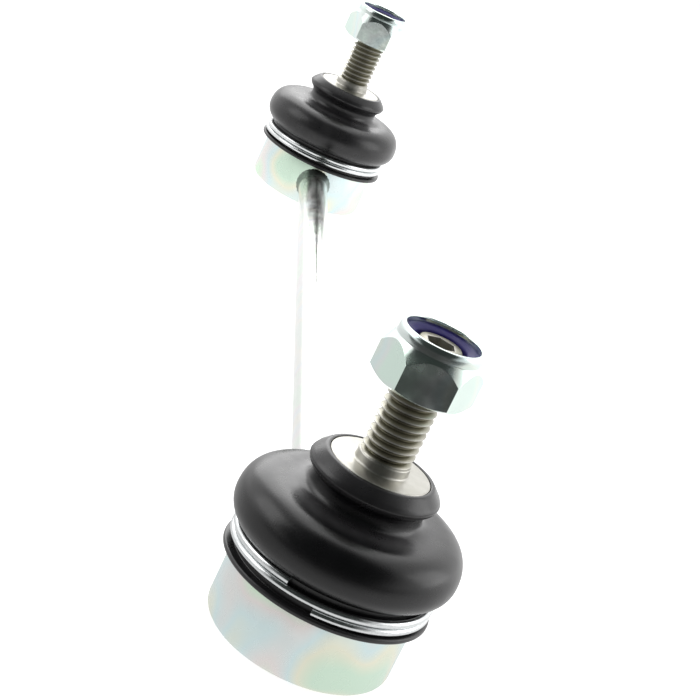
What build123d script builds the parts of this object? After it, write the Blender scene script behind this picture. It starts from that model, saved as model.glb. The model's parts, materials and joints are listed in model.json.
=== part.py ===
"""Anti-roll-bar link: a straight steel rod with a sealed ball joint welded to each end.

Both threaded studs point up (+Z) and the rod runs along X. The origin lies on the surface that the
two housings rest on, midway between them. Lengths are in millimetres.
"""

import os
from math import cos, radians, sqrt, tan

from build123d import *

# Link
LINK_LENGTH = 300.0          # between the two stud axes
ROD_DIAMETER = 9.0
ROD_HEIGHT = 7.6             # rod axis above the surface
WELD_LEG = 1.3               # weld fillet up the housing wall
WELD_LENGTH = 5.0            # weld fillet along the rod
WELD_WAIST = 0.3             # where the fillet is thinnest for its place, as a share of its length
WELD_WAIST_LEG = 0.38        # its thickness there, as a share of its leg
WELD_ROOT = 0.4              # how far the fillet's top reaches in over the housing's curve

# Housing: a cup, open at both ends, that is rolled over its bottom cover
HOUSING_DIAMETER = 36.2
HOUSING_SHOULDER = 13.5      # height of the step that carries the boot's flange
HOUSING_TOP = 18.8
HOUSING_EDGE_RADIUS = 2.2    # rounded bottom edge
HOUSING_BORE = 29.2
HOUSING_ROOF = 2.4           # thickness of the inward rim over the seat
HOUSING_BEVEL = 0.6
BOOT_SEAT_DIAMETER = 33.2    # turned seat inside the boot's base
ROLLED_RIM = 0.9             # thickness of the rim rolled under the cover
ROLLED_RIM_BITE = 2.2        # how far the rim reaches in under the cover

# Cover
COVER_DIAMETER = 31.0
COVER_THICKNESS = 1.7
COVER_DISH = 0.5             # depth of the dish pressed into its outside
COVER_DISH_DIAMETER = 18.0

# Ball stud
BALL_DIAMETER = 16.0
BALL_FLOOR = 1.3             # seat thickness under the ball
BALL_FLAT_DIAMETER = 6.0
SHANK_DIAMETER = 10.0
COLLAR_DIAMETER = 19.4
COLLAR_THICKNESS = 1.8
COLLAR_RIM = 0.35            # bevel on both edges of the collar
COLLAR_CONE = 3.4            # height of the cone under the collar
COLLAR_TOP = 37.8            # face that the bracket is clamped against
NECK_DIAMETER = 10.2
NECK_LENGTH = 3.2
THREAD_DIAMETER = 9.85       # crest diameter of the M10 thread
THREAD_LENGTH = 21.8
THREAD_CHAMFER = 1.0
SOCKET_ACROSS_FLATS = 5.0
SOCKET_DEPTH = 4.0
SWING_LIMIT = 22.0           # degrees each way from upright

# Ball seat
SEAT_HOLD = 3.5              # height above the ball's centre up to which the seat wraps it
SEAT_SLOTS = 4
SEAT_SLOT_WIDTH = 1.2
GREASE_HOLE_DIAMETER = 4.4

# Boot
FLANGE_DIAMETER = 40.4
FLANGE_THICKNESS = 1.0
RING_GROOVE_DIAMETER = 36.7
RING_GROOVE_WIDTH = 4.7
BULGE_DIAMETER = 43.6
BULGE_HEIGHT = 10.0          # widest place, above the housing's shoulder
BULGE_BASE_DIAMETER = 38.8
SHOULDER_DIAMETER = 34.6     # where the bulge turns over into its top
SHOULDER_HEIGHT = 16.1
BOOT_NECK_DIAMETER = 21.8
BOOT_NECK_HEIGHT = 19.6
BOOT_NECK_LENGTH = 1.4       # straight part, up to where the lip starts
LIP_DIAMETER = 25.4
LIP_RISE = 2.1               # from the neck to the lip's widest place
LIP_TOP_WALL = 0.7           # rubber around the collar at the lip's top
TURN_OVER = (-0.98, 0, 0.20)   # direction of the section where the bulge turns over
INTO_NECK = (0, 0, 1)        # direction of the section where its top has turned up into the neck
BOOT_WALL = 1.9
BOOT_BORE_LENGTH = 4.6       # length that seals on the shank

# Wire rings
CLAMP_WIRE_DIAMETER = 1.5
CLAMP_PITCH = 1.57
CLAMP_SWEEP = 703.0          # degrees of winding, just under two turns
CLAMP_START = {"bar_end": 169.0, "strut_end": 40.0}   # azimuth of the lower wire end, degrees
NECK_RING_WIRE = 1.5

# Lock nut and its nylon insert
NUT_ACROSS_FLATS = 17.0
NUT_HEIGHT = 10.8
NUT_HEX_HEIGHT = 7.9
NUT_CHAMFER_FACE = 16.2      # diameter of the bearing face
NUT_CHAMFER_ANGLE = 30.0
NUT_TOP_ANGLE = 45.0         # chamfer of the corners beside the dome
NUT_DOME_DIAMETER = 16.4
NUT_MOUTH_DIAMETER = 14.2
NUT_CREST_DIAMETER = 14.9
NUT_DOME_LEAN = 0.12         # how far the dome has closed in at half its height
NUT_MOUTH_BEVEL = 0.3
NUT_COUNTERSINK = 0.6        # depth of the cone at the start of the nut's thread
NUT_TURN = {"bar_end": 26.0, "strut_end": 24.0}   # degrees past a corner on the X axis
INSERT_DIAMETER = 14.8
INSERT_THICKNESS = 2.4
INSERT_RECESS = 1.0          # how far the insert lies below the nut's top
NUT_REST_CLEARANCE = 1.5     # how far the stud's tip stays below the nut's top

# Clearances
SEAT_CLEARANCE = 0.10
BALL_CLEARANCE = 0.05
SWING_CLEARANCE = 0.60
COVER_CLEARANCE = 0.05
RUBBER_CLEARANCE = 0.08
WIRE_CLEARANCE = 0.05
THREAD_CLEARANCE = 0.05
INSERT_BORE_CLEARANCE = 0.03
INSERT_CLEARANCE = 0.03
CUT_PAST = 1.0               # how far a cut runs out past the face it opens

# Places that follow from the sizes above, as heights over the surface
COVER_TOP = ROLLED_RIM + COVER_THICKNESS
SEAT_BOTTOM = COVER_TOP + SEAT_CLEARANCE
ROOF_BOTTOM = HOUSING_TOP - HOUSING_ROOF
SEAT_TOP = ROOF_BOTTOM - SEAT_CLEARANCE
BALL_RADIUS = BALL_DIAMETER / 2
CAVITY_RADIUS = BALL_RADIUS + BALL_CLEARANCE
BALL_CENTRE = SEAT_BOTTOM + BALL_FLOOR + CAVITY_RADIUS
SHANK_RADIUS = SHANK_DIAMETER / 2
THREAD_START = COLLAR_TOP + NECK_LENGTH
STUD_TIP = THREAD_START + THREAD_LENGTH
NUT_TOP = STUD_TIP + NUT_REST_CLEARANCE
NUT_BOTTOM = NUT_TOP - NUT_HEIGHT
INSERT_TOP = NUT_TOP - INSERT_RECESS
COLLAR_BOTTOM = COLLAR_TOP - COLLAR_THICKNESS
BOOT_NECK_Z = HOUSING_SHOULDER + BOOT_NECK_HEIGHT
LIP_Z = BOOT_NECK_Z + LIP_RISE
NECK_RING_RADIUS = SHANK_RADIUS + WIRE_CLEARANCE + NECK_RING_WIRE / 2
NECK_RING_Z = COLLAR_BOTTOM - COLLAR_CONE - NECK_RING_WIRE
END_PLACES = {"bar_end": -LINK_LENGTH / 2, "strut_end": LINK_LENGTH / 2}


def turned(*edges):
    """Solid of revolution about Z, from the edges of a closed half section in the XZ plane."""
    return revolve(make_face(list(edges)), Axis.Z)


def at(radius, height):
    """Point of a half section."""
    return (radius, 0, height)


def chain(*points):
    """Straight edges from point to point."""
    return [Line(a, b) for a, b in zip(points, points[1:])]


def swing_radius(height, clearance):
    """Opening that the shank needs at a height, at the end of its swing."""
    swing = radians(SWING_LIMIT)
    return (height - BALL_CENTRE) * tan(swing) + SHANK_RADIUS / cos(swing) + clearance


def housing():
    """Turned cup with the boot's seat on top and the rim rolled in at the bottom."""
    outer = HOUSING_DIAMETER / 2
    bore = HOUSING_BORE / 2
    pocket = COVER_DIAMETER / 2 + COVER_CLEARANCE
    rim = COVER_DIAMETER / 2 - ROLLED_RIM_BITE
    edge = HOUSING_EDGE_RADIUS
    seat = BOOT_SEAT_DIAMETER / 2
    bevel = HOUSING_BEVEL
    slant = edge * sqrt(0.5)
    corner = ThreePointArc(
        at(outer - edge, 0), at(outer - edge + slant, edge - slant), at(outer, edge)
    )
    wall = chain(
        at(outer, edge),
        at(outer, HOUSING_SHOULDER),
        at(seat, HOUSING_SHOULDER),
        at(seat, HOUSING_TOP - bevel),
        at(seat - bevel, HOUSING_TOP),
        at(swing_radius(HOUSING_TOP, SWING_CLEARANCE), HOUSING_TOP),
        at(swing_radius(ROOF_BOTTOM, SWING_CLEARANCE), ROOF_BOTTOM),
        at(bore, ROOF_BOTTOM),
        at(bore, COVER_TOP),
        at(pocket, COVER_TOP),
        at(pocket, ROLLED_RIM),
        at(rim, ROLLED_RIM),
        at(rim + ROLLED_RIM / 2, 0),
        at(outer - edge, 0),
    )
    return turned(corner, *wall)


def cover():
    """Pressed disc that closes the housing from below."""
    outer = COVER_DIAMETER / 2
    dish = COVER_DISH_DIAMETER / 2
    return turned(
        *chain(
            at(0, ROLLED_RIM + COVER_DISH),
            at(dish - COVER_DISH, ROLLED_RIM + COVER_DISH),
            at(dish, ROLLED_RIM),
            at(outer, ROLLED_RIM),
            at(outer, COVER_TOP),
            at(0, COVER_TOP),
            at(0, ROLLED_RIM + COVER_DISH),
        )
    )


def ball_seat():
    """Plastic seat: wraps the ball past its middle and is slotted so that the ball snaps in."""
    outer = HOUSING_BORE / 2 - SEAT_CLEARANCE
    hold_z = BALL_CENTRE + SEAT_HOLD
    hold_radius = sqrt(CAVITY_RADIUS**2 - SEAT_HOLD**2)
    mouth = hold_radius + (SEAT_TOP - hold_z)
    body = turned(
        *chain(
            at(0, SEAT_BOTTOM),
            at(outer, SEAT_BOTTOM),
            at(outer, SEAT_TOP),
            at(mouth, SEAT_TOP),
            at(hold_radius, hold_z),
            at(0, hold_z),
            at(0, SEAT_BOTTOM),
        )
    )
    body -= Pos(0, 0, BALL_CENTRE) * Sphere(CAVITY_RADIUS)
    body -= Pos(0, 0, SEAT_BOTTOM) * Cylinder(GREASE_HOLE_DIAMETER / 2, BALL_RADIUS)
    slot_height = BALL_CENTRE - SEAT_BOTTOM
    slot = Box(outer, SEAT_SLOT_WIDTH, slot_height, align=(Align.MIN, Align.CENTER, Align.MIN))
    slots = PolarLocations(BALL_RADIUS, SEAT_SLOTS) * (Pos(0, 0, SEAT_BOTTOM) * slot)
    return body - slots


def ball_stud():
    """Forged stud: ball, shank, collar, smooth neck and M10 thread with a hexagon socket."""
    flat = BALL_FLAT_DIAMETER / 2
    flat_z = BALL_CENTRE - sqrt(BALL_RADIUS**2 - flat**2)
    join_z = BALL_CENTRE + sqrt(BALL_RADIUS**2 - SHANK_RADIUS**2)
    collar = COLLAR_DIAMETER / 2
    rim = COLLAR_RIM
    neck = NECK_DIAMETER / 2
    thread = THREAD_DIAMETER / 2
    ball = ThreePointArc(at(flat, flat_z), at(BALL_RADIUS, BALL_CENTRE), at(SHANK_RADIUS, join_z))
    above = chain(
        at(SHANK_RADIUS, join_z),
        at(SHANK_RADIUS, COLLAR_BOTTOM - COLLAR_CONE),
        at(collar - rim, COLLAR_BOTTOM),
        at(collar, COLLAR_BOTTOM + rim),
        at(collar, COLLAR_TOP - rim),
        at(collar - rim, COLLAR_TOP),
        at(neck, COLLAR_TOP),
        at(neck, THREAD_START),
        at(thread, THREAD_START),
        at(thread, STUD_TIP - THREAD_CHAMFER),
        at(thread - THREAD_CHAMFER, STUD_TIP),
        at(0, STUD_TIP),
        at(0, flat_z),
        at(flat, flat_z),
    )
    socket = extrude(
        Plane.XY.offset(STUD_TIP) * RegularPolygon(SOCKET_ACROSS_FLATS / 2, 6, major_radius=False),
        -SOCKET_DEPTH,
    )
    return turned(ball, *above) - socket


def boot():
    """Rubber bellows: flange, groove for the clamp ring, bulge, neck and the lip round the collar."""
    base = BOOT_SEAT_DIAMETER / 2 + RUBBER_CLEARANCE
    floor = HOUSING_SHOULDER + RUBBER_CLEARANCE
    flange = FLANGE_DIAMETER / 2
    flange_top = floor + FLANGE_THICKNESS
    groove = RING_GROOVE_DIAMETER / 2
    groove_top = flange_top + RING_GROOVE_WIDTH
    bulge_base = BULGE_BASE_DIAMETER / 2
    bulge = BULGE_DIAMETER / 2
    bulge_z = HOUSING_SHOULDER + BULGE_HEIGHT
    shoulder = SHOULDER_DIAMETER / 2
    shoulder_z = HOUSING_SHOULDER + SHOULDER_HEIGHT
    neck = BOOT_NECK_DIAMETER / 2
    neck_foot = BOOT_NECK_Z - BOOT_NECK_LENGTH
    lip = LIP_DIAMETER / 2
    collar = COLLAR_DIAMETER / 2 + RUBBER_CLEARANCE
    lip_top = COLLAR_TOP
    under_collar = COLLAR_BOTTOM - RUBBER_CLEARANCE
    bore = SHANK_RADIUS + RUBBER_CLEARANCE
    cone_z = COLLAR_BOTTOM - COLLAR_CONE - RUBBER_CLEARANCE
    bore_bottom = cone_z - BOOT_BORE_LENGTH
    wall = BOOT_WALL
    outside = [
        *chain(at(base, floor), at(flange, floor), at(flange, flange_top), at(groove, flange_top)),
        *chain(at(groove, flange_top), at(groove, groove_top), at(bulge_base, groove_top)),
        ThreePointArc(at(bulge_base, groove_top), at(bulge, bulge_z), at(shoulder, shoulder_z)),
        Spline(at(shoulder, shoulder_z), at(neck, neck_foot), tangents=[TURN_OVER, INTO_NECK]),
        *chain(
            at(neck, neck_foot),
            at(neck, BOOT_NECK_Z),
            at(lip, LIP_Z),
            at(collar + LIP_TOP_WALL, lip_top),
            at(collar, lip_top),
            at(collar, under_collar),
            at(bore, cone_z),
            at(bore, bore_bottom),
            at(bore + wall, bore_bottom),
            at(neck - wall, neck_foot),
        ),
    ]
    inside = [
        Spline(
            at(shoulder - wall, shoulder_z - wall),
            at(neck - wall, neck_foot),
            tangents=[TURN_OVER, INTO_NECK],
        ),
        ThreePointArc(
            at(shoulder - wall, shoulder_z - wall),
            at(bulge - wall, bulge_z),
            at(base, groove_top),
        ),
        Line(at(base, groove_top), at(base, floor)),
    ]
    ring_groove = Pos(0, 0, NECK_RING_Z) * Torus(NECK_RING_RADIUS, NECK_RING_WIRE / 2 + WIRE_CLEARANCE)
    return turned(*outside, *inside) - ring_groove


def boot_neck_ring():
    """Spring ring inside the boot's bore, which keeps the rubber on the shank."""
    return Pos(0, 0, NECK_RING_Z) * Torus(NECK_RING_RADIUS, NECK_RING_WIRE / 2)


def boot_clamp_ring(start_angle):
    """Round wire wound just under two turns in the boot's groove."""
    wire = CLAMP_WIRE_DIAMETER / 2
    radius = RING_GROOVE_DIAMETER / 2 + WIRE_CLEARANCE + wire
    height = CLAMP_PITCH * CLAMP_SWEEP / 360
    floor = HOUSING_SHOULDER + RUBBER_CLEARANCE + FLANGE_THICKNESS
    low = floor + wire + (RING_GROOVE_WIDTH - height - CLAMP_WIRE_DIAMETER) / 2
    path = Helix(pitch=CLAMP_PITCH, height=height, radius=radius)
    section = Plane(origin=path @ 0, z_dir=path % 0) * Circle(wire)
    return Pos(0, 0, low) * Rot(0, 0, start_angle) * sweep(section, path=path)


def lock_nut():
    """Hexagon nut with chamfered corners and a domed collar that holds the nylon insert."""
    corner = NUT_ACROSS_FLATS / cos(radians(30))
    hexagon = extrude(
        Plane.XY.offset(NUT_BOTTOM) * RegularPolygon(NUT_ACROSS_FLATS / 2, 6, major_radius=False),
        NUT_HEX_HEIGHT,
    )
    rise = (corner - NUT_CHAMFER_FACE) / 2 * tan(radians(NUT_CHAMFER_ANGLE))
    fall = (corner - NUT_DOME_DIAMETER) / 2 * tan(radians(NUT_TOP_ANGLE))
    hex_top = NUT_BOTTOM + NUT_HEX_HEIGHT
    envelope = turned(
        *chain(
            at(0, NUT_BOTTOM),
            at(NUT_CHAMFER_FACE / 2, NUT_BOTTOM),
            at(corner / 2, NUT_BOTTOM + rise),
            at(corner / 2, hex_top - fall),
            at(NUT_DOME_DIAMETER / 2, hex_top),
            at(0, hex_top),
            at(0, NUT_BOTTOM),
        )
    )
    dome = NUT_DOME_DIAMETER / 2
    crest = NUT_CREST_DIAMETER / 2
    mouth = NUT_MOUTH_DIAMETER / 2
    collar = turned(
        Line(at(0, hex_top), at(dome, hex_top)),
        ThreePointArc(
            at(dome, hex_top),
            at(dome - NUT_DOME_LEAN, (hex_top + NUT_TOP) / 2),
            at(crest, NUT_TOP),
        ),
        *chain(at(crest, NUT_TOP), at(mouth, NUT_TOP), at(0, NUT_TOP), at(0, hex_top)),
    )
    bore = THREAD_DIAMETER / 2 + THREAD_CLEARANCE
    pocket = INSERT_DIAMETER / 2 + INSERT_CLEARANCE
    pocket_floor = INSERT_TOP - INSERT_THICKNESS - INSERT_CLEARANCE
    pocket_roof = INSERT_TOP + INSERT_CLEARANCE
    below = NUT_BOTTOM - CUT_PAST
    above = NUT_TOP + CUT_PAST
    hollow = turned(
        *chain(
            at(0, below),
            at(bore + NUT_COUNTERSINK + CUT_PAST, below),
            at(bore, NUT_BOTTOM + NUT_COUNTERSINK),
            at(bore, pocket_floor),
            at(pocket, pocket_floor),
            at(pocket, pocket_roof),
            at(mouth, pocket_roof + NUT_MOUTH_BEVEL),
            at(mouth, above),
            at(0, above),
            at(0, below),
        )
    )
    return (hexagon & envelope) + collar - hollow


def nylon_insert():
    """Nylon locking ring that grips the last turns of the thread."""
    bore = THREAD_DIAMETER / 2 + INSERT_BORE_CLEARANCE
    ring = Cylinder(INSERT_DIAMETER / 2, INSERT_THICKNESS) - Cylinder(bore, INSERT_THICKNESS)
    return Pos(0, 0, INSERT_TOP - INSERT_THICKNESS / 2) * ring


def rod():
    """Round rod, its ends coped to the housings' walls."""
    bar = Pos(0, 0, ROD_HEIGHT) * Rot(0, 90, 0) * Cylinder(ROD_DIAMETER / 2, LINK_LENGTH)
    for place in END_PLACES.values():
        bar -= Pos(place, 0, ROD_HEIGHT) * Cylinder(HOUSING_DIAMETER / 2, 2 * ROD_DIAMETER)
    return bar


def weld(place):
    """Weld fillet round the rod where it meets a housing."""
    wall = HOUSING_DIAMETER / 2
    start = wall - WELD_LENGTH
    reach = wall + WELD_LENGTH
    low = ROD_DIAMETER / 2
    high = low + WELD_LEG
    profile = [
        Line((start, low, 0), (reach, low, 0)),
        ThreePointArc(
            (reach, low, 0),
            (wall + WELD_LENGTH * WELD_WAIST, low + WELD_LEG * WELD_WAIST_LEG, 0),
            (wall - WELD_ROOT, high, 0),
        ),
        Line((wall - WELD_ROOT, high, 0), (start, high, 0)),
        Line((start, high, 0), (start, low, 0)),
    ]
    ring = revolve(make_face(profile), Axis.X) - Cylinder(wall, 4 * ROD_DIAMETER)
    turn = 180 if place > 0 else 0
    return Pos(place, 0, ROD_HEIGHT) * Rot(0, 0, turn) * ring


def save(solid, name):
    """Write one piece to its own file."""
    solid.label = name
    export_step(solid, f"parts/{name}.step")


def main():
    os.makedirs("parts", exist_ok=True)
    save(rod(), "rod")
    nut = lock_nut()
    joint_pieces = {
        "housing": housing(),
        "bottom_cover": cover(),
        "ball_seat": ball_seat(),
        "ball_stud": ball_stud(),
        "boot": boot(),
        "boot_neck_ring": boot_neck_ring(),
        "nylon_insert": nylon_insert(),
    }
    for end, place in END_PLACES.items():
        save(weld(place), f"weld_{end}")
        save(Pos(place, 0, 0) * boot_clamp_ring(CLAMP_START[end]), f"boot_clamp_ring_{end}")
        save(Pos(place, 0, 0) * Rot(0, 0, NUT_TURN[end]) * nut, f"lock_nut_{end}")
        for piece, solid in joint_pieces.items():
            save(Pos(place, 0, 0) * solid, f"{piece}_{end}")


main()
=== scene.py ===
"""Finished surfaces for an anti-roll-bar link, built round its CAD frame.

Lengths are in metres, and heights are over the surface that the link stands on. Each operator makes
the pieces of one kind at both ends of the link. The stage operator adds floor, light and camera.
"""

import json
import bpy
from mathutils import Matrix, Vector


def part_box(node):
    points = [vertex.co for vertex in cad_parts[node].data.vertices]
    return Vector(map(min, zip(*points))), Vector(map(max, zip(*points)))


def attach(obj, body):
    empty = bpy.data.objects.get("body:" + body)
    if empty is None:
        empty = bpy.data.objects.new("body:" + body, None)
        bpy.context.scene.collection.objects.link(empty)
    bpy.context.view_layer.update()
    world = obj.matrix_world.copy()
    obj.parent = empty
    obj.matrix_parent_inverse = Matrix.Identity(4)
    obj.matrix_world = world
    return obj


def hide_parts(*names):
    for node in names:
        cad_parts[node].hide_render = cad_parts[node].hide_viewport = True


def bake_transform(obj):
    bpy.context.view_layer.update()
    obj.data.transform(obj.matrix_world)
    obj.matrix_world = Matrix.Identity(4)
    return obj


bl_info = {
    "name": "Anti-Roll-Bar Link",
    "version": (1, 0, 0),
    "blender": (4, 5, 0),
    "location": "3D View > Sidebar > Link",
    "description": "Builds the finished surfaces of an anti-roll-bar link round its CAD frame",
    "category": "Object",
}

from math import atan2, cos, hypot, pi, radians, sin, sqrt, tan

import bmesh
import bpy
from bpy.props import FloatProperty, FloatVectorProperty, PointerProperty
from bpy.types import Operator, Panel, PropertyGroup
from mathutils import Matrix, Quaternion, Vector
from mathutils.geometry import interpolate_bezier

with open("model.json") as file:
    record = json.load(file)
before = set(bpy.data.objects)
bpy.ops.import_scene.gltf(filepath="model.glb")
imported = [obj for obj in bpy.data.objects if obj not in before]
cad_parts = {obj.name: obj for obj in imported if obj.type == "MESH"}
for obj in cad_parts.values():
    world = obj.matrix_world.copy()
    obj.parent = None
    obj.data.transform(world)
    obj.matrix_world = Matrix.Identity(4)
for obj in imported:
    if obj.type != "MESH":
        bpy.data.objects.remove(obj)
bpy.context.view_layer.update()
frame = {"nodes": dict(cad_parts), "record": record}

ENDS = ("bar_end", "strut_end")
FULL_TURN = 2 * pi
MERGE_DISTANCE = 1e-6

# Steps of the round stretches and of the turned pieces
EASE_STEPS = 6
LATHE_STEPS = 192
ROD_STEPS = 96
WELD_STEPS = 144
THREAD_STEPS = 96
WIRE_STEPS = 320
WIRE_SIDES = 20
NUT_COLUMNS = 96

# Roundings of the edges in the sections, and how far they reach towards the sharp corner
FINE_EDGE = 0.0002
EDGE = 0.0003
SOFT_EDGE = 0.0006
EASE_PULL = 0.55

# The boot: its groove's top over its foot, two heights over the housing's shoulder, the length of its
# straight neck, how far its sleeve reaches below the collar's face, and its gap to the stud
BOOT_GROOVE_TOP = 0.0057
BOOT_WIDEST = 0.010
BOOT_NECK_TOP = 0.0196
BOOT_NECK_LENGTH = 0.0014
BOOT_SLEEVE_DEPTH = 0.0076
RUBBER_CLEARANCE = 0.00008

# What differs between the ends: turn of nut and wire about the stud, and painted light over the whole boot
NUT_TURN = {"bar_end": radians(26), "strut_end": radians(24)}
WIRE_START = {"bar_end": radians(169), "strut_end": radians(40)}
BOOT_PAINTED_LIGHT = {"bar_end": 0.0, "strut_end": 0.35}

# The range that most of a noise's values lie in
NOISE_LOW = 0.3
NOISE_HIGH = 0.7


def width(node):
    """Width of a CAD node across the link."""
    low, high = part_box(node)
    return high.y - low.y


def foot(node):
    """Lowest height of a CAD node."""
    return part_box(node)[0].z


def top(node):
    """Highest height of a CAD node."""
    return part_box(node)[1].z


def axis_place(end):
    """Where a joint's own axis meets the surface that the link stands on."""
    low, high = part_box(f"ball_stud_{end}")
    return Vector(((low.x + high.x) / 2, 0, 0))


def body_of(node):
    """The CAD body that carries a node."""
    bodies = frame["record"]["behaviour"]["bodies"]
    return next(name for name, nodes in bodies.items() if node in nodes)


def length(name, description, default, **settings):
    """Property for a length in metres."""
    return FloatProperty(
        name=name, description=description, default=default, min=0, precision=5, unit="LENGTH", **settings
    )


def colour(name, description, default):
    """Property for a finish's base colour."""
    return FloatVectorProperty(
        name=name, description=description, default=default, min=0, max=1, size=3, subtype="COLOR"
    )


class LinkSizes(PropertyGroup):
    """Sizes of the detail that the finished surfaces add to the frame"""

    housing_edge: length("Housing Edge", "Radius of the housing's bottom edge", 0.0022)
    shoulder_height: length("Housing Shoulder", "Height of the step that carries the boot", 0.0135)
    rod_radius: length("Rod Radius", "Half the rod's thickness", width("rod") / 2)
    weld_length: length("Weld Length", "Length of the weld along the rod", 0.005)
    weld_leg: length("Weld Leg", "Height of the weld up the housing's wall", 0.0008)
    weld_ripple: length("Weld Ripple", "Height of the ripples in the weld", 0.00009)
    ball_radius: length("Ball Radius", "Radius of the stud's ball", 0.008)
    shank_radius: length("Shank Radius", "Radius of the shank under the collar", 0.005)
    collar_cone: length("Collar Cone", "Height of the cone under the collar", 0.0034)
    collar_thickness: length("Collar Thickness", "Thickness of the stud's collar", 0.0018)
    collar_radius: length("Collar Radius", "Half the width of the stud's collar", 0.0097)
    collar_top: length("Collar Top", "Height of the face that the bracket is clamped against", 0.0378)
    neck_radius: length("Neck Radius", "Radius of the smooth neck over the collar", 0.0051)
    thread_start: length("Thread Start", "Height at which the thread runs out", 0.0397)
    thread_radius: length("Thread Radius", "Radius over the thread's crests", 0.004925)
    thread_pitch: length("Thread Pitch", "Rise of the thread in one turn", 0.0015)
    thread_depth: length("Thread Depth", "Depth from crest to root", 0.00092)
    socket_flats: length("Socket Across Flats", "Width of the hexagon socket in the tip", 0.005)
    socket_depth: length("Socket Depth", "Depth of the hexagon socket in the tip", 0.004)
    boot_wall: length("Boot Wall", "Thickness of the boot's rubber", 0.0019)
    wire_radius: length("Wire Radius", "Radius of the wire in the boot's clamp ring", 0.00075)
    wire_pitch: length("Wire Pitch", "Distance between the clamp ring's turns", 0.00157)
    wire_sweep: FloatProperty(
        name="Wire Sweep", description="Angle that the clamp ring's wire is wound through",
        default=radians(703), min=0, subtype="ANGLE",
    )
    nut_flats: length("Nut Across Flats", "Distance between opposite flats", 0.017)
    nut_hex_height: length("Nut Hexagon Height", "Height of the nut's hexagon", 0.0085)
    nut_edge: length("Nut Edge", "Width of the rounding on the nut's edges", 0.00022)


class LinkFinish(PropertyGroup):
    """Base colours of the link's finishes"""

    plating: colour("Zinc Plating", "Plated housings and covers", (0.77, 0.83, 0.78))
    rod_plating: colour("Rod Plating", "Plated rod", (0.82, 0.83, 0.82))
    nut_plating: colour("Nut Plating", "Plated lock nuts", (0.74, 0.83, 0.80))
    # The weld's colour is darkened as painted shade under the boot's flange
    weld: colour("Weld", "Plated weld beads", (0.33, 0.37, 0.34))
    stud: colour("Stud Steel", "Ball studs", (0.51, 0.50, 0.46))
    wire: colour("Spring Wire", "Clamp rings and neck rings", (0.78, 0.80, 0.80))
    rubber: colour("Rubber", "Boots", (0.0032, 0.0030, 0.0036))
    # Colour that lightens the boots by the stored amount: dust, painted sheen and painted light
    dust_and_painted_light: colour("Dust_and_painted_light", "Dust on the boots", (0.082, 0.080, 0.083))
    nylon: colour("Nylon", "Locking inserts", (0.014, 0.008, 0.13))
    acetal: colour("Acetal", "Ball seats", (0.86, 0.85, 0.80))


class LinkStage(PropertyGroup):
    """Camera and light round the link"""

    camera_place: FloatVectorProperty(
        name="Camera Place", description="Where the camera stands", size=3, subtype="TRANSLATION",
        unit="LENGTH", default=(-0.46543, 0.06699, 0.16034),
    )
    camera_aim: FloatVectorProperty(
        name="Camera Aim", description="Point in the middle of the picture", size=3,
        subtype="TRANSLATION", unit="LENGTH", default=(-0.13749, 0.01182, 0.0512),
    )
    camera_roll: FloatProperty(
        name="Camera Roll", description="Turn of the camera about its line of sight",
        default=radians(25.48), subtype="ANGLE",
    )
    camera_lens: FloatProperty(
        name="Lens", description="Focal length for a 36 mm wide picture", default=100.3, min=1,
        unit="CAMERA",
    )
    dark_side: FloatVectorProperty(
        name="Dark Side", description="Direction in which the studio is unlit", size=3,
        subtype="DIRECTION", default=(-0.80, 0.17, 0.57),
    )
    side_light: FloatProperty(
        name="Side Light", description="Power of each side light", default=1.3, min=0, unit="POWER"
    )
    back_light: FloatProperty(
        name="Back Light", description="Power of the light behind the link", default=2.2, min=0, unit="POWER"
    )
    top_light: FloatProperty(
        name="Top Light", description="Power of the light overhead", default=1.6, min=0, unit="POWER"
    )
    sky_light: FloatProperty(
        name="Sky Light", description="Strength of the light from all round", default=0.42, min=0
    )


def node(tree, kind, inputs=(), **settings):
    """Add a shader node; an input is a value or the socket that feeds it."""
    made = tree.nodes.new("ShaderNode" + kind)
    for name, value in settings.items():
        setattr(made, name, value)
    for name, value in dict(inputs).items():
        if isinstance(value, bpy.types.NodeSocket):
            tree.links.new(value, made.inputs[name])
        else:
            made.inputs[name].default_value = value
    return made


def pattern(tree, scale, stretch=(1, 1, 1), detail=3.0):
    """Noise over the object, squeezed by a factor along each axis."""
    where = node(tree, "TexCoord").outputs["Object"]
    squeezed = node(tree, "Mapping", {"Vector": where, "Scale": stretch}).outputs["Vector"]
    noise = node(tree, "TexNoise", {"Vector": squeezed, "Scale": scale, "Detail": detail})
    return noise.outputs["Fac"]


def ramp(tree, factor, stops):
    """Colours that follow one another along a factor."""
    made = node(tree, "ValToRGB", {"Fac": factor})
    elements = made.color_ramp.elements
    while len(elements) < len(stops):
        elements.new(1.0)
    for element, (place, shade) in zip(elements, stops):
        element.position = place
        element.color = (*shade, 1)
    return made.outputs["Color"]


def carried(tree, value, first, last):
    """A value carried over from one pair of place and level to another, held beyond both."""
    places = {"From Min": first[0], "From Max": last[0]}
    levels = {"To Min": first[1], "To Max": last[1]}
    return node(tree, "MapRange", {"Value": value, **places, **levels}).outputs["Result"]


def spread(tree, noise, low, high):
    """A noise carried over to the range from low to high."""
    return carried(tree, noise, (NOISE_LOW, low), (NOISE_HIGH, high))


def product(tree, one, other):
    """Two values multiplied."""
    return node(tree, "Math", {0: one, 1: other}, operation="MULTIPLY").outputs[0]


def bump(tree, height, depth, under=None):
    """Surface relief from a factor, over another relief if there is one."""
    inputs = {"Height": height, "Distance": depth, "Strength": 1.0}
    if under:
        inputs["Normal"] = under
    return node(tree, "Bump", inputs).outputs["Normal"]


def tinted(shade, *tint):
    """A colour multiplied by a tint."""
    return tuple(min(1.0, a * b) for a, b in zip(shade, tint))


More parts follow.
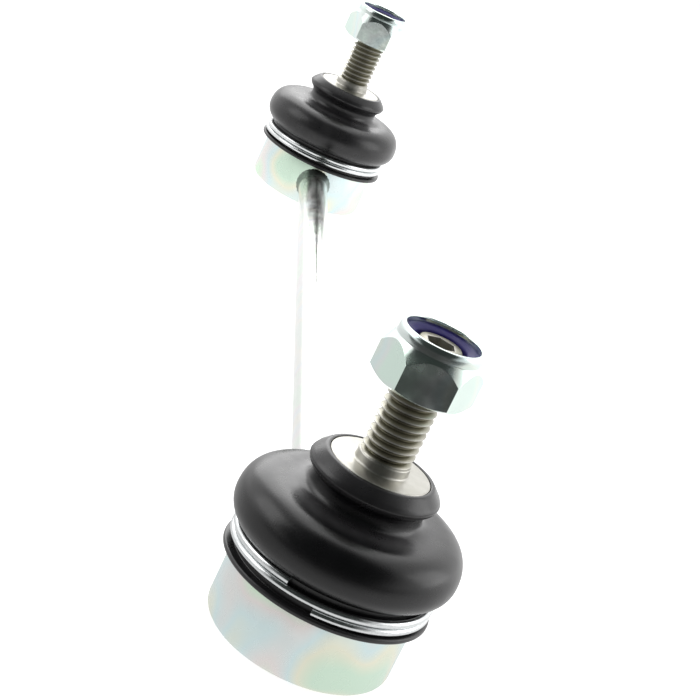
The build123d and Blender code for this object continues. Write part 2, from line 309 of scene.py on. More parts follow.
def blank_material(name, **values):
    """Material whose shader has the named values; underscores in a name stand for spaces."""
    material = bpy.data.materials.new(name)
    material.use_nodes = True
    tree = material.node_tree
    shader = tree.nodes["Principled BSDF"]
    for key, value in values.items():
        shader.inputs[key.replace("_", " ")].default_value = value
    return material, tree, shader


def feed(tree, shader, **sockets):
    """Join sockets to the shader's inputs of the same names."""
    for key, socket in sockets.items():
        tree.links.new(socket, shader.inputs[key.replace("_", " ")])


def zinc_plating(
    name, shade, gloss=0.27, unevenness=0.05, patch=46.0, film=1.0, line_depth=0.000004, grain_depth=0.000003
):
    """Zinc plating with pale passivation colours in patches and fine turning lines."""
    material, tree, shader = blank_material(name, Metallic=1.0)
    patches = pattern(tree, patch, detail=1.5)
    colours = [
        (0.36, (0.86, 1.00, 0.88)),
        (0.44, (1.08, 1.00, 0.87)),
        (0.51, (0.88, 0.98, 1.05)),
        (0.58, (1.06, 0.93, 0.96)),
        (0.66, (0.86, 1.08, 0.86)),
    ]
    stops = [(place, tinted(shade, *(1 + film * (part - 1) for part in tint))) for place, tint in colours]
    grain = pattern(tree, 1100, detail=4.0)
    lines = pattern(tree, 18, stretch=(1, 1, 260))
    relief = bump(tree, lines, line_depth, bump(tree, grain, grain_depth))
    feed(
        tree, shader,
        Base_Color=ramp(tree, patches, stops),
        Roughness=spread(tree, pattern(tree, 240), gloss - unevenness, gloss + unevenness),
        Normal=relief,
    )
    return material


def weld_metal_in_painted_shade(name, shade):
    """Plating over a weld bead: duller and uneven, and darkened as painted shade under the boot's flange."""
    material, tree, shader = blank_material(name, Metallic=1.0)
    spots = pattern(tree, 420, detail=5.0)
    stops = [(0.3, tinted(shade, 0.70, 0.70, 0.70)), (0.7, shade)]
    feed(
        tree, shader,
        Base_Color=ramp(tree, spots, stops),
        Roughness=spread(tree, spots, 0.5, 0.32),
        Normal=bump(tree, pattern(tree, 900, detail=5.0), 0.00003),
    )
    return material


def moulded_rubber(name, shade, dust_and_painted_light):
    """Semi-matt moulded rubber with a fine grain, a faint bloom, and lightening by dust and painted light.
    """
    material, tree, shader = blank_material(name, Specular_IOR_Level=0.5)
    bloom = ramp(tree, pattern(tree, 90, detail=4.0), [(0.35, shade), (0.65, tinted(shade, 1.5, 1.5, 1.5))])
    # Lightening by dust and painted light: dust with painted sheen in the neck's hollow, and a whole boot
    # made lighter
    lightening = node(tree, "Attribute", attribute_name="dust_and_painted_light").outputs["Fac"]
    blotches = pattern(tree, 220, detail=4.0)
    lightened = node(tree, "Mix", {"Factor": product(tree, lightening, blotches)}, data_type="RGBA")
    tree.links.new(bloom, lightened.inputs["A"])
    lightened.inputs["B"].default_value = (*dust_and_painted_light, 1)
    grain = pattern(tree, 2600, detail=2.0)
    swell = pattern(tree, 160)
    feed(
        tree, shader,
        Base_Color=lightened.outputs["Result"],
        Roughness=spread(tree, pattern(tree, 300), 0.26, 0.32),
        Normal=bump(tree, grain, 0.000012, bump(tree, swell, 0.00004)),
    )
    return material


def spring_wire(name, shade):
    """Bright drawn wire."""
    material, tree, shader = blank_material(name, Metallic=1.0)
    streaks = pattern(tree, 900, stretch=(1, 1, 5))
    stops = [(0.35, tinted(shade, 0.86, 0.86, 0.87)), (0.65, shade)]
    feed(
        tree, shader,
        Base_Color=ramp(tree, streaks, stops),
        Roughness=spread(tree, streaks, 0.16, 0.26),
        Normal=bump(tree, streaks, 0.000004),
    )
    return material


def stud_steel(name, shade):
    """Rolled steel, darker and yellower in the thread's roots: partly oil, partly painted shade."""
    material, tree, shader = blank_material(name, Metallic=1.0)
    depth = node(tree, "Attribute", attribute_name="thread_depth").outputs["Fac"]
    # Darker towards the roots: oil there, and painted shade in the recess
    crests = [(0.0, shade), (0.3, tinted(shade, 0.80, 0.79, 0.72)), (1.0, tinted(shade, 0.36, 0.35, 0.27))]
    mottle = ramp(tree, pattern(tree, 350, detail=4.0), [(0.3, (0.86, 0.86, 0.84)), (0.7, (1, 1, 1))])
    mixed = node(tree, "Mix", data_type="RGBA", blend_type="MULTIPLY")
    mixed.inputs["Factor"].default_value = 1.0
    tree.links.new(ramp(tree, depth, crests), mixed.inputs["A"])
    tree.links.new(mottle, mixed.inputs["B"])
    feed(
        tree, shader,
        Base_Color=mixed.outputs["Result"],
        Roughness=spread(tree, pattern(tree, 500), 0.32, 0.44),
        Normal=bump(tree, pattern(tree, 1500, detail=4.0), 0.000005),
    )
    return material


def plain_plastic(name, shade, gloss, weight):
    """Moulded plastic with light passing a little way in."""
    material, tree, shader = blank_material(
        name, Subsurface_Weight=weight, Subsurface_Scale=0.001, Specular_IOR_Level=0.3
    )
    mottle = pattern(tree, 300)
    stops = [(0.35, tinted(shade, 0.88, 0.88, 0.90)), (0.65, shade)]
    feed(
        tree, shader,
        Base_Color=ramp(tree, mottle, stops),
        Roughness=spread(tree, mottle, gloss, gloss + 0.08),
        Normal=bump(tree, pattern(tree, 1200), 0.000008),
    )
    return material


def eased(*corners):
    """Section points. A corner with a third number is rounded over that length of each side."""
    points = []
    for index, corner in enumerate(corners):
        here = Vector(corner[:2])
        if len(corner) < 3:
            points.append(here)
            continue
        before = Vector(corners[index - 1][:2])
        after = Vector(corners[(index + 1) % len(corners)][:2])
        start = here + (before - here).normalized() * corner[2]
        end = here + (after - here).normalized() * corner[2]
        start_pull = start.lerp(here, EASE_PULL)
        end_pull = end.lerp(here, EASE_PULL)
        points += interpolate_bezier(start, start_pull, end_pull, end, EASE_STEPS)
    return points


def curve(start, start_pull, end_pull, end, steps=16):
    """Section points along a curve that leaves and arrives towards its two pulls."""
    return interpolate_bezier(Vector(start), Vector(start_pull), Vector(end_pull), Vector(end), steps)


def section_mesh(points, closed):
    """Half section in the plane of X and Z, ready to be spun."""
    mesh = bmesh.new()
    corners = [mesh.verts.new((p[0], 0, p[1])) for p in points]
    for pair in zip(corners, corners[1:]):
        mesh.edges.new(pair)
    if closed:
        mesh.edges.new((corners[-1], corners[0]))
    return mesh


def lathe(points, closed=True, steps=LATHE_STEPS):
    """Body of revolution about Z. An open section starts and ends on the axis."""
    mesh = section_mesh(points, closed)
    bmesh.ops.spin(
        mesh, geom=mesh.verts[:] + mesh.edges[:], cent=(0, 0, 0), axis=(0, 0, 1),
        dvec=(0, 0, 0), angle=FULL_TURN, steps=steps, use_merge=True,
    )
    bmesh.ops.remove_doubles(mesh, verts=mesh.verts, dist=MERGE_DISTANCE)
    bmesh.ops.recalc_face_normals(mesh, faces=mesh.faces)
    return mesh


def turn_mesh(mesh, angle, axis):
    """Turn a bmesh about an axis through the origin."""
    bmesh.ops.rotate(mesh, verts=mesh.verts, cent=(0, 0, 0), matrix=Matrix.Rotation(angle, 3, axis))


def finished(mesh, name, end, cad_node, material, place, crease=radians(38)):
    """Object from a bmesh, standing for a CAD node, with its place in its mesh."""
    bmesh.ops.translate(mesh, verts=mesh.verts, vec=place)
    data = bpy.data.meshes.new(name)
    mesh.to_mesh(data)
    mesh.free()
    data.shade_smooth()
    data.set_sharp_from_angle(angle=crease)
    data.materials.append(material)
    piece = bpy.data.objects.new(f"{name}_{end}", data)
    bpy.context.scene.collection.objects.link(piece)
    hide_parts(cad_node)
    return piece


def refinish(cad_node, material):
    """Give a CAD node that stays its finish."""
    materials = frame["nodes"][cad_node].data.materials
    materials.clear()
    materials.append(material)


class LINK_OT_housings(Operator):
    """Make the two joint housings and the covers that close them"""

    bl_idname = "link.housings"
    bl_label = "Housings"

    def execute(self, context):
        sizes = context.scene.link_sizes
        finish = context.scene.link_finish
        plated = zinc_plating("Zinc Plated Housing", finish.plating)
        pressed = zinc_plating("Zinc Plated Cover", finish.plating, gloss=0.34, line_depth=0.0)
        for end in ENDS:
            place = axis_place(end)
            cup = finished(
                lathe(self.cup_section(sizes, end)), "turned_housing", end, f"housing_{end}", plated, place
            )
            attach(cup, body_of(f"housing_{end}"))
            disc = finished(
                lathe(self.cover_section(end), closed=False), "pressed_cover", end,
                f"bottom_cover_{end}", pressed, place,
            )
            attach(disc, body_of(f"bottom_cover_{end}"))
        return {"FINISHED"}

    def cup_section(self, sizes, end):
        """Cup with the boot's seat above its shoulder and the rim rolled in under the cover."""
        outer = width(f"housing_{end}") / 2
        shoulder = sizes.shoulder_height
        height = top(f"housing_{end}")
        seat = outer - 0.0015
        bore = outer - 0.0035
        roof = height - 0.0024
        mouth = 0.00872
        throat = 0.00775
        cover = width(f"bottom_cover_{end}") / 2
        cover_top = top(f"bottom_cover_{end}")
        ledge = foot(f"bottom_cover_{end}")
        rim = cover - 0.0022
        rim_foot = cover - 0.0017
        return eased(
            (outer, 0, sizes.housing_edge),
            (outer, shoulder, EDGE),
            (seat, shoulder),
            (seat, height, SOFT_EDGE),
            (mouth, height, EDGE),
            (throat, roof),
            (bore, roof),
            (bore, cover_top),
            (cover, cover_top),
            (cover, ledge),
            (rim, ledge, EDGE),
            (rim_foot, 0, 0.0004),
        )

    def cover_section(self, end):
        """Disc with a shallow dish pressed into its outside."""
        outer = width(f"bottom_cover_{end}") / 2
        low = foot(f"bottom_cover_{end}")
        high = top(f"bottom_cover_{end}")
        dish = low + 0.0005
        dish_radius = 0.0082
        brim_radius = 0.0092
        return eased(
            (0, dish),
            (dish_radius, dish, SOFT_EDGE),
            (brim_radius, low, SOFT_EDGE),
            (outer, low, FINE_EDGE),
            (outer, high, FINE_EDGE),
            (0, high),
        )


class LINK_OT_rod(Operator):
    """Make the rod and the weld bead at each of its ends"""

    bl_idname = "link.rod"
    bl_label = "Rod and Welds"

    # The square ends stop this far short of the frame's curved ones, under the welds
    END_GAP = 0.0004

    def execute(self, context):
        sizes = context.scene.link_sizes
        finish = context.scene.link_finish
        low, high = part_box("rod")
        axis_height = (low.z + high.z) / 2
        steel = zinc_plating(
            "Zinc Plated Rod", finish.rod_plating, gloss=0.22, film=0.3, line_depth=0.000002
        )
        half = high.x - self.END_GAP
        bar = lathe(
            eased((0, -half), (sizes.rod_radius, -half), (sizes.rod_radius, half), (0, half)),
            closed=False, steps=ROD_STEPS,
        )
        turn_mesh(bar, pi / 2, "Y")
        bar_piece = finished(bar, "plated", "rod", "rod", steel, Vector((0, 0, axis_height)))
        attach(bar_piece, body_of("rod"))
        shaded_bead_metal = weld_metal_in_painted_shade("Plated Weld", finish.weld)
        for end in ENDS:
            place = axis_place(end)
            bead = self.bead(sizes, width(f"housing_{end}") / 2)
            if place.x > 0:
                turn_mesh(bead, pi, "Z")
            place.z = axis_height
            piece = finished(bead, "weld_bead", end, f"weld_{end}", shaded_bead_metal, place)
            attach(piece, body_of(f"weld_{end}"))
        return {"FINISHED"}

    def bead(self, sizes, wall):
        """Rippled fillet round the rod, laid against the housing's curved wall."""
        radius = sizes.rod_radius
        leg = sizes.weld_leg
        reach = sizes.weld_length
        buried = 0.0003
        ripples_round = 26
        ripple_slant = 5000    # radians in each metre along the rod
        ripple_fade = 0.0003
        surface = curve(
            (radius + leg, 0.0002), (radius + leg * 0.55, 0.0008), (radius + 0.0003, reach * 0.35),
            (radius, reach), 14,
        )
        section = [
            Vector((radius - buried, -buried)),
            Vector((radius + leg, -buried)),
            *surface,
            Vector((radius - buried, reach)),
        ]
        ring = lathe(section, steps=WELD_STEPS)
        turn_mesh(ring, pi / 2, "Y")
        for vertex in ring.verts:
            along = vertex.co.x
            turn = atan2(vertex.co.z, vertex.co.y)
            out = hypot(vertex.co.y, vertex.co.z)
            if out > radius:
                ripple = sizes.weld_ripple * sin(ripples_round * turn + ripple_slant * along)
                out += ripple * min(1.0, (out - radius) / ripple_fade)
            vertex.co.y = out * cos(turn)
            vertex.co.z = out * sin(turn)
            vertex.co.x = along + sqrt(wall**2 - vertex.co.y**2)
        return ring


class LINK_OT_studs(Operator):
    """Make the ball studs with their collars, rolled threads and hexagon sockets"""

    bl_idname = "link.studs"
    bl_label = "Ball Studs"

    def execute(self, context):
        sizes = context.scene.link_sizes
        steel = stud_steel("Stud Steel", context.scene.link_finish.stud)
        for end in ENDS:
            cad_node = f"ball_stud_{end}"
            shell = self.lower_part(sizes, cad_node)
            self.add_ball(shell, sizes, cad_node)
            thread = self.thread(sizes, top(cad_node))
            joined = bpy.data.meshes.new("thread")
            thread.to_mesh(joined)
            thread.free()
            shell.from_mesh(joined)
            bpy.data.meshes.remove(joined)
            self.mark_depth(shell, sizes)
            piece = finished(shell, "threaded_stud", end, cad_node, steel, axis_place(end), radians(50))
            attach(piece, body_of(cad_node))
        return {"FINISHED"}

    def lower_part(self, sizes, cad_node):
        """Shank, from inside the ball, with cone, collar and smooth neck."""
        inside_ball = foot(cad_node) + 0.004
        shank = sizes.shank_radius
        collar = sizes.collar_radius
        neck = sizes.neck_radius
        face = sizes.collar_top
        underside = face - sizes.collar_thickness
        return lathe(
            eased(
                (0, inside_ball),
                (shank, inside_ball),
                (shank, underside - sizes.collar_cone, 0.0008),
                (collar, underside, EDGE),
                (collar, face, 0.00035),
                (neck, face, 0.0004),
                (neck, sizes.thread_start, EDGE),
                (0, sizes.thread_start),
            ),
            closed=False,
        )

    def add_ball(self, mesh, sizes, cad_node):
        """Ball with the flat that the forging leaves at its bottom."""
        flat = foot(cad_node)
        flat_radius = 0.003
        radius = sizes.ball_radius
        centre = flat + sqrt(radius**2 - flat_radius**2)
        made = bmesh.ops.create_uvsphere(
            mesh, u_segments=96, v_segments=48, radius=radius, matrix=Matrix.Translation((0, 0, centre))
        )
        verts = made["verts"]
        edges = {edge for vert in verts for edge in vert.link_edges}
        faces = {face for vert in verts for face in vert.link_faces}
        cut = bmesh.ops.bisect_plane(
            mesh, geom=[*verts, *edges, *faces], plane_co=(0, 0, flat), plane_no=(0, 0, -1), clear_outer=True
        )
        rim = [item for item in cut["geom_cut"] if isinstance(item, bmesh.types.BMEdge)]
        bmesh.ops.edgeloop_fill(mesh, edges=rim)

    def thread(self, sizes, tip):
        """Helical thread, capped at both ends, with a chamfered tip and a hexagon socket."""
        pitch = sizes.thread_pitch
        crest = sizes.thread_radius
        root = crest - sizes.thread_depth
        flank = sizes.thread_depth * tan(radians(30))
        start = sizes.thread_start
        lower_end = start - 0.0002
        chamfer_foot = tip - 0.001
        runout = 0.4 * pitch
        turns = int((tip - start) / pitch) + 4
        low = start - 3 * pitch
        worn = 0.0001
        crest_start = low + pitch / 8 + flank
        crest_end = crest_start + pitch / 8
        ridge = [
            (root, low),
            (root, crest_start - flank),
            (crest - worn, crest_start - 0.5 * worn),
            (crest, crest_start + 0.3 * worn),
            (crest, crest_end - 0.3 * worn),
            (crest - worn, crest_end + 0.5 * worn),
            (root, crest_end + flank),
            (root, low + pitch),
        ]
        mesh = section_mesh(ridge, closed=False)
        bmesh.ops.subdivide_edges(mesh, edges=mesh.edges[:], cuts=1)
        bmesh.ops.spin(
            mesh, geom=mesh.verts[:] + mesh.edges[:], cent=(0, 0, 0), axis=(0, 0, 1),
            dvec=(0, 0, pitch / THREAD_STEPS), angle=FULL_TURN, steps=THREAD_STEPS,
            use_merge=False,
        )
        one_turn = mesh.verts[:] + mesh.edges[:] + mesh.faces[:]
        for turn in range(1, turns):
            copied = bmesh.ops.duplicate(mesh, geom=one_turn)["geom"]
            raised = [item for item in copied if isinstance(item, bmesh.types.BMVert)]
            bmesh.ops.translate(mesh, verts=raised, vec=(0, 0, turn * pitch))
        bmesh.ops.remove_doubles(mesh, verts=mesh.verts, dist=MERGE_DISTANCE * 5)
        for height, outward in ((lower_end, -1), (tip, 1)):
            cut = bmesh.ops.bisect_plane(
                mesh, geom=mesh.verts[:] + mesh.edges[:] + mesh.faces[:], dist=1e-8,
                plane_co=(0, 0, height), plane_no=(0, 0, outward), clear_outer=True,
            )
            rim = [item for item in cut["geom_cut"] if isinstance(item, bmesh.types.BMEdge)]
            cap = bmesh.ops.edgeloop_fill(mesh, edges=rim)["faces"]
        for vertex in mesh.verts:
            out = hypot(vertex.co.x, vertex.co.y)
            filled = max(0.0, 1 - (vertex.co.z - start) / runout)
            wanted = out + (crest - out) * min(1.0, filled)
            wanted = min(wanted, crest - max(0.0, vertex.co.z - chamfer_foot))
            if out > 0:
                vertex.co.x *= wanted / out
                vertex.co.y *= wanted / out
        # The tip was cut last, so the cap is its face
        self.sink_socket(mesh, sizes, cap)
        bmesh.ops.recalc_face_normals(mesh, faces=mesh.faces)
        return mesh

    def sink_socket(self, mesh, sizes, cap):
        """Hexagon socket in the stud's tip: the cap is inset, made a hexagon and sunk."""
        apothem = sizes.socket_flats / 2
        inset = 0.0008
        bmesh.ops.inset_region(mesh, faces=cap, thickness=inset, use_even_offset=True)
        for vertex in {v for face in cap for v in face.verts}:
            turn = atan2(vertex.co.y, vertex.co.x)
            within = (turn % (pi / 3)) - pi / 6
            out = apothem / cos(within)
            vertex.co.x = out * cos(turn)
            vertex.co.y = out * sin(turn)
        sunk = bmesh.ops.extrude_discrete_faces(mesh, faces=cap)["faces"]
        floor = list({v for face in sunk for v in face.verts})
        bmesh.ops.translate(mesh, verts=floor, vec=(0, 0, -sizes.socket_depth))

    def mark_depth(self, mesh, sizes):
        """Store how deep each point lies in the thread, for the oil and painted shade in the roots."""
        depth = mesh.verts.layers.float.new("thread_depth")
        past_socket = 0.0035
        for vertex in mesh.verts:
            out = hypot(vertex.co.x, vertex.co.y)
            if vertex.co.z > sizes.thread_start and out > past_socket:
                vertex[depth] = max(0.0, min(1.0, (sizes.thread_radius - out) / sizes.thread_depth))


class LINK_OT_boots(Operator):
    """Make the rubber boots"""

    bl_idname = "link.boots"
    bl_label = "Boots"

    def execute(self, context):
        sizes = context.scene.link_sizes
        colours = context.scene.link_finish
        rubber = moulded_rubber("Moulded Rubber", colours.rubber, colours.dust_and_painted_light)
        for end in ENDS:
            cad_node = f"boot_{end}"
            place = axis_place(end)
            shell = lathe(self.section(sizes, end))
            self.mark_dust_and_painted_light(shell, sizes, end)
            piece = finished(shell, "rubber_boot", end, cad_node, rubber, place)
            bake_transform(piece)
        return {"FINISHED"}

    def section(self, sizes, end):
        """Flange, groove for the wire, bulge, neck and the lip that holds the collar."""
        wall = sizes.boot_wall
        floor = foot(f"boot_{end}")
        flange_top = floor + 0.001
        groove_top = floor + BOOT_GROOVE_TOP
        widest = sizes.shoulder_height + BOOT_WIDEST
        neck_top = sizes.shoulder_height + BOOT_NECK_TOP
        neck_foot = neck_top - BOOT_NECK_LENGTH
        face = sizes.collar_top
        underside = face - sizes.collar_thickness
        sleeve_top = underside - sizes.collar_cone - 0.0001
        sleeve_foot = face - BOOT_SLEEVE_DEPTH
        base = 0.01668
        flange = 0.0202
        groove = 0.01835
        bulge_foot = 0.0194
        bulge = width(f"boot_{end}") / 2
        neck = 0.0109
        pocket = sizes.collar_radius + RUBBER_CLEARANCE
        sleeve = sizes.shank_radius + RUBBER_CLEARANCE
        crown = Vector((0.0173, widest + 0.0061))
        inner_crown = crown - Vector((wall, wall))
        rim = eased(
            (base, floor),
            (flange, floor, 0.00035),
            (flange, flange_top, 0.00035),
            (groove, flange_top, FINE_EDGE),
            (groove, groove_top, FINE_EDGE),
            (bulge_foot, groove_top),
        )[:-1]
        side = curve(
            (bulge_foot, groove_top), (0.0206, groove_top + 0.0009), (bulge, widest - 0.0022),
            (bulge, widest),
        )
        shoulder = curve((bulge, widest), (bulge, widest + 0.0033), (0.0202, widest + 0.0055), crown)
        roof = curve(crown, (0.0147, widest + 0.00664), (neck, widest + 0.0058), (neck, neck_foot))
        lip = eased(
            (neck, neck_foot),
            (neck, neck_top, 0.0007),
            (0.0127, neck_top + 0.0017, 0.0007),
            (0.0125, neck_top + 0.0027, SOFT_EDGE),
            (pocket + 0.0007, face, EDGE),
            (pocket, face, 0.00015),
            (pocket, underside),
            (sleeve, sleeve_top),
            (sleeve, sleeve_foot),
            (sleeve + wall, sleeve_foot),
            (neck - wall, neck_foot),
        )[1:]
        inner_roof = curve(
            (neck - wall, neck_foot), (neck - wall, widest + 0.0040), (0.0130, widest + 0.0048), inner_crown
        )
        inner_shoulder = curve(
            inner_crown, (0.0185, widest + 0.0035), (bulge - wall, widest + 0.0018), (bulge - wall, widest)
        )
        inner_side = curve(
            (bulge - wall, widest), (bulge - wall, widest - 0.0022), (0.0185, groove_top + 0.0008),
            (base, groove_top),
        )
        outside = [*rim, *side, *shoulder[1:], *roof[1:]]
        inside = [*inner_roof[1:], *inner_shoulder, *inner_side]
        points = [*outside, *lip, *inside]
        return [a for a, b in zip(points, points[1:] + points[:1]) if (a - b).length > MERGE_DISTANCE]

    def mark_dust_and_painted_light(self, mesh, sizes, end):
        """Store each point's lightening by dust and painted light, most in the hollow round the neck."""
        dust_and_painted_light = mesh.verts.layers.float.new("dust_and_painted_light")
        roof = sizes.shoulder_height + 0.0153
        neck_foot = sizes.shoulder_height + BOOT_NECK_TOP - BOOT_NECK_LENGTH
        lip = neck_foot + 0.0026
        flange = foot(f"boot_{end}") + 0.0011
        hollow_radius = 0.0138
        hollow_reach = 0.0028
        edge_lightening = 0.3
        for vertex in mesh.verts:
            out = hypot(vertex.co.x, vertex.co.y)
            # Painted light: the whole strut-end boot is lightened, a lighter copy of the same rubber
            lightening = BOOT_PAINTED_LIGHT[end]
            # Dust and painted sheen in the hollow round the neck
            if roof < vertex.co.z < neck_foot:
                lightening = max(lightening, 1 - abs(out - hollow_radius) / hollow_reach)
            # The lip's top and the flange's foot are made lighter
            elif vertex.co.z > lip or vertex.co.z < flange:
                lightening = max(lightening, edge_lightening)
            vertex[dust_and_painted_light] = lightening


class LINK_OT_wire_rings(Operator):
    """Make the wire rings that clamp the boots, and finish the rings inside their necks"""

    bl_idname = "link.wire_rings"
    bl_label = "Wire Rings"

    def execute(self, context):
        sizes = context.scene.link_sizes
        steel = spring_wire("Spring Wire", context.scene.link_finish.wire)
        for end in ENDS:
            cad_node = f"boot_clamp_ring_{end}"
            piece = finished(
                self.winding(sizes, end, cad_node), "clamp_wire", end, cad_node, steel, axis_place(end)
            )
            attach(piece, body_of(cad_node))
            refinish(f"boot_neck_ring_{end}", steel)
        return {"FINISHED"}

    def winding(self, sizes, end, cad_node):
        """Round wire wound upwards from its lower end, both ends cut square."""
        radius = sizes.wire_radius
        middle = 0.01915
        cut_edge = 0.00012
        mesh = bmesh.new()
        stand = Matrix.Translation((middle, 0, foot(cad_node) + radius)) @ Matrix.Rotation(pi / 2, 4, "X")
        ring = bmesh.ops.create_circle(mesh, segments=WIRE_SIDES, radius=radius, matrix=stand)["verts"]
        first = list({edge for vert in ring for edge in vert.link_edges})
        swept = bmesh.ops.spin(
            mesh, geom=ring + first, cent=(0, 0, 0), axis=(0, 0, 1),
            dvec=(0, 0, sizes.wire_pitch * sizes.wire_sweep / FULL_TURN / WIRE_STEPS),
            angle=sizes.wire_sweep, steps=WIRE_STEPS,
        )
        last = [item for item in swept["geom_last"] if isinstance(item, bmesh.types.BMEdge)]
        for rim in (first, last):
            bmesh.ops.edgeloop_fill(mesh, edges=rim)
        bmesh.ops.bevel(
            mesh, geom=first + last, offset=cut_edge, offset_type="OFFSET", segments=2, profile=0.5,
            affect="EDGES", material=-1,
        )
        bmesh.ops.recalc_face_normals(mesh, faces=mesh.faces)
        turn_mesh(mesh, WIRE_START[end], "Z")
        return mesh


class LINK_OT_lock_nuts(Operator):
    """Make the hexagon lock nuts and their nylon inserts"""

    bl_idname = "link.lock_nuts"
    bl_label = "Lock Nuts"

    # How steeply the hexagon's corners are chamfered, from level
    BOTTOM_ANGLE = radians(30)
    TOP_ANGLE = radians(60)

    def execute(self, context):
        sizes = context.scene.link_sizes
        finish = context.scene.link_finish
        plated = zinc_plating(
            "Zinc Plated Nut", finish.nut_plating, gloss=0.19, patch=90.0, film=0.3, line_depth=0.0,
            grain_depth=0.00001, unevenness=0.11,
        )
        nylon = plain_plastic("Dyed Nylon", finish.nylon, 0.5, 0.1)
        for end in ENDS:
            place = axis_place(end)
            nut = finished(
                self.nut(sizes, end), "hexagon_nut", end, f"lock_nut_{end}", plated, place, radians(30)
            )
            rounding = nut.modifiers.new("Worn Edges", "BEVEL")
            rounding.width = sizes.nut_edge
            rounding.segments = 3
            rounding.limit_method = "ANGLE"
            rounding.angle_limit = radians(24)
            rounding.harden_normals = True
            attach(nut, body_of(f"lock_nut_{end}"))
            ring = finished(
                lathe(self.insert_section(end)), "locking_ring", end, f"nylon_insert_{end}", nylon, place
            )
            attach(ring, body_of(f"nylon_insert_{end}"))
        return {"FINISHED"}

    def nut(self, sizes, end):
        """Chamfered hexagon with the domed collar that holds the insert."""
        low = foot(f"lock_nut_{end}")
        high = top(f"lock_nut_{end}")
        insert_low = foot(f"nylon_insert_{end}")
        insert_high = top(f"nylon_insert_{end}")
        hex_top = low + sizes.nut_hex_height
        apothem = sizes.nut_flats / 2
        corner = apothem / cos(pi / 6)
        face = apothem - 0.0004
        dome = apothem - 0.0003
        mouth = 0.0071
        crest = 0.00745
        bore = sizes.thread_radius + 0.00005
        countersink = 0.0006
        pocket = width(f"nylon_insert_{end}") / 2 + 0.00003
        collar = curve(
            (dome - 0.0001, hex_top + 0.0002), (dome - 0.00008, high - 0.0014), (0.0081, high),
            (crest, high), 12,
        )
        brim = curve(
            (crest - 0.0001, high), (mouth + 0.00005, high), (mouth, high - 0.0001),
            (mouth, high - 0.0004), 5,
        )
        section = [
            Vector((bore, low + countersink)),
            Vector((bore + countersink, low)),
            Vector((face, low)),
            Vector((corner, low + 0.0001)),
            Vector((corner, hex_top - 0.0001)),
            Vector((dome, hex_top)),
            Vector((dome - 0.00006, hex_top + 0.0001)),
            *collar,
            *brim,
            Vector((mouth, insert_high)),
            Vector((pocket, insert_high)),
            Vector((pocket, insert_low)),
            Vector((bore, insert_low)),
        ]
        mesh = lathe(section, steps=NUT_COLUMNS)
        for vertex in mesh.verts:
            if hypot(vertex.co.x, vertex.co.y) < corner - MERGE_DISTANCE:
                continue
            turn = atan2(vertex.co.y, vertex.co.x)
            out = apothem / cos((turn % (pi / 3)) - pi / 6)
            rise = (out - face) * tan(self.BOTTOM_ANGLE)
            fall = (out - dome) * tan(self.TOP_ANGLE)
            vertex.co.x = out * cos(turn)
            vertex.co.y = out * sin(turn)
            vertex.co.z = low + rise if vertex.co.z < (low + hex_top) / 2 else hex_top - fall
        turn_mesh(mesh, NUT_TURN[end], "Z")
        return mesh

    def insert_section(self, end):
        """Nylon ring, its top edge swollen a little inwards by the thread."""
        low = foot(f"nylon_insert_{end}")
        high = top(f"nylon_insert_{end}")
        outer = width(f"nylon_insert_{end}") / 2
        bore = 0.004955
        swell = 0.0012
        swell_depth = 0.0005
        return eased(
            (outer, low, FINE_EDGE),
            (outer, high, FINE_EDGE),
            (bore + swell, high, 0.0004),
            (bore, high - swell_depth, EDGE),
            (bore, low, FINE_EDGE),
        )


class LINK_OT_ball_seats(Operator):
    """Finish the plastic ball seats inside the housings"""

    bl_idname = "link.ball_seats"
    bl_label = "Ball Seats"

    def execute(self, context):
        acetal = plain_plastic("Natural Acetal", context.scene.link_finish.acetal, 0.25, 0.2)
        for end in ENDS:
            refinish(f"ball_seat_{end}", acetal)
        return {"FINISHED"}


